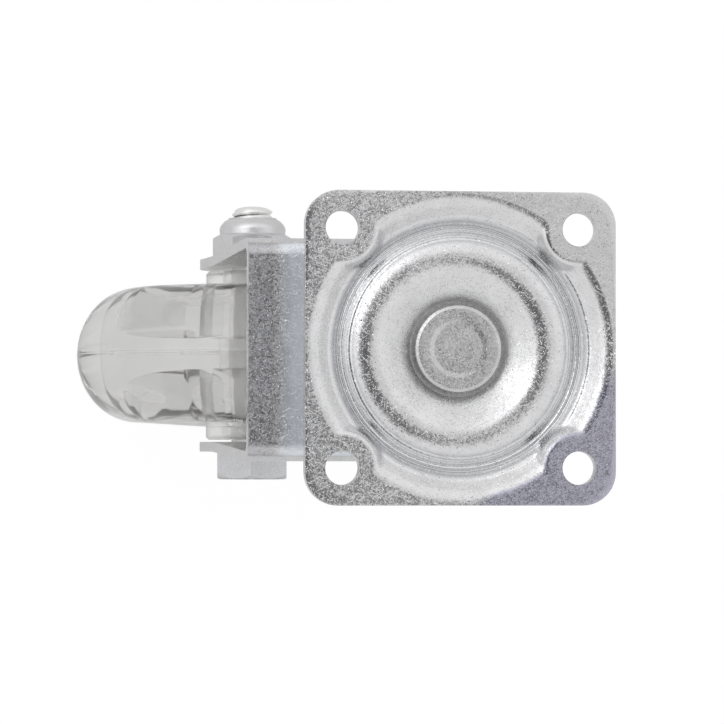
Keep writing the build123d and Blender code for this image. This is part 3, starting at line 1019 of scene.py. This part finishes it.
def clear(name, colour, bend, base_roughness, clearness, swirl_share=0.04):
    """A clear plastic with some milk in it. Moulding swirls vary its colour and gloss a little."""
    material = bpy.data.materials.new(name)
    material.use_nodes = True
    tree = material.node_tree
    tree.nodes.clear()
    place = tree.nodes.new("ShaderNodeTexCoord").outputs["Object"]
    swirl = ramp(tree, noise(tree, place, swirl_scale), 0.3, 0.7)
    faint = tuple(c * (1 - swirl_share) for c in colour) + (1,)
    tint = mixed(tree, swirl, faint, colour + (1,))
    gloss = noise(tree, place, gloss_scale)
    rough = ramp(tree, gloss, 0.3, 0.7, base_roughness, base_roughness * 2)
    plastic = node(tree, "ShaderNodeBsdfPrincipled", Metallic=0.0, IOR=bend)
    plastic.inputs["Transmission Weight"].default_value = clearness
    tree.links.new(tint, plastic.inputs["Base Color"])
    tree.links.new(rough, plastic.inputs["Roughness"])
    node(tree, "ShaderNodeOutputMaterial", Surface=plastic.outputs[0])
    return material


clear_tyre = clear("clear_tyre", (0.75, 0.747, 0.737), bend=1.49, base_roughness=0.03, clearness=0.88)
core_in_tyre = clear("core_in_tyre", (0.98, 0.98, 0.975), bend=1.05, base_roughness=0.02, clearness=0.98)
core_in_air = clear("core_in_air", (0.95, 0.95, 0.945), bend=1.40, base_roughness=0.12, clearness=0.80)
bonded_joint = clear("bonded_joint", (1.0, 1.0, 1.0), bend=1.0, base_roughness=0.0, clearness=1.0,
                     swirl_share=0.0)
nylon = clear("white_nylon", (0.82, 0.82, 0.80), bend=1.53, base_roughness=0.35, clearness=0.0)
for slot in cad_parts["nylon_ring"].material_slots:
    slot.material = nylon
print("clear materials made")

# %% Spin the tyre
tread_gap = 0.003
wheel_r = (tyre_high.z - tyre_low.z) / 2 / mm - tread_gap
hub_r = 6.7
joint_gap = 0.01
hub_round = 0.25
hub_side = 10.3
rim_side = 9.7
crown_start = 16.6
crown_steps = 44
wheel_steps = 240
ridge = 0.05
ridge_half = 0.12
peak = wheel_r - ridge
tyre_corners = [(hub_r + joint_gap, -hub_side, hub_round), (crown_start, -rim_side, 0)]
for step in range(1, crown_steps):
    turn = pi * step / crown_steps
    if step == crown_steps // 2:
        tyre_corners += [(peak, -ridge_half, 0), (wheel_r, 0, 0), (peak, ridge_half, 0)]
    else:
        out = crown_start + (peak - crown_start) * sin(turn)
        tyre_corners.append((out, -rim_side * cos(turn), 0))
tyre_corners += [(crown_start, rim_side, 0), (hub_r + joint_gap, hub_side, hub_round)]
bm = bmesh.new()
section(bm, tyre_corners, "XY")
spun(bm, (0, 1, 0), wheel_steps)
bmesh.ops.translate(bm, verts=bm.verts, vec=axle)
tyre = finished(bm, "tyre_moulding", clear_tyre, "wheel", "tyre", sharp=50)
tyre.data.materials.append(bonded_joint)
joint_reach = (hub_r + 0.1) * mm
for face in tyre.data.polygons:
    out = face.center - axle
    if hypot(out.x, out.z) < joint_reach:
        face.material_index = 1

# %% Core from its CAD node, with bonded faces and air faces
bm = softened("wheel_core", core_edge)
for side in (-1, 1):
    bmesh.ops.bisect_plane(bm, geom=bm.verts[:] + bm.edges[:] + bm.faces[:], dist=0.0001 * mm,
                           plane_co=(0, side * hub_side * mm, 0), plane_no=(0, side, 0))
core = finished(bm, "core_moulding", core_in_tyre, "wheel", "wheel_core")
level_shading(core)
core.data.materials.append(core_in_air)
bore_reach = 3.6 * mm
hub_end_reach = (hub_side - 0.02) * mm
for face in core.data.polygons:
    out = face.center - axle
    if abs(out.y) > hub_end_reach or hypot(out.x, out.z) < bore_reach:
        face.material_index = 1
print("core", len(core.data.polygons), "faces")
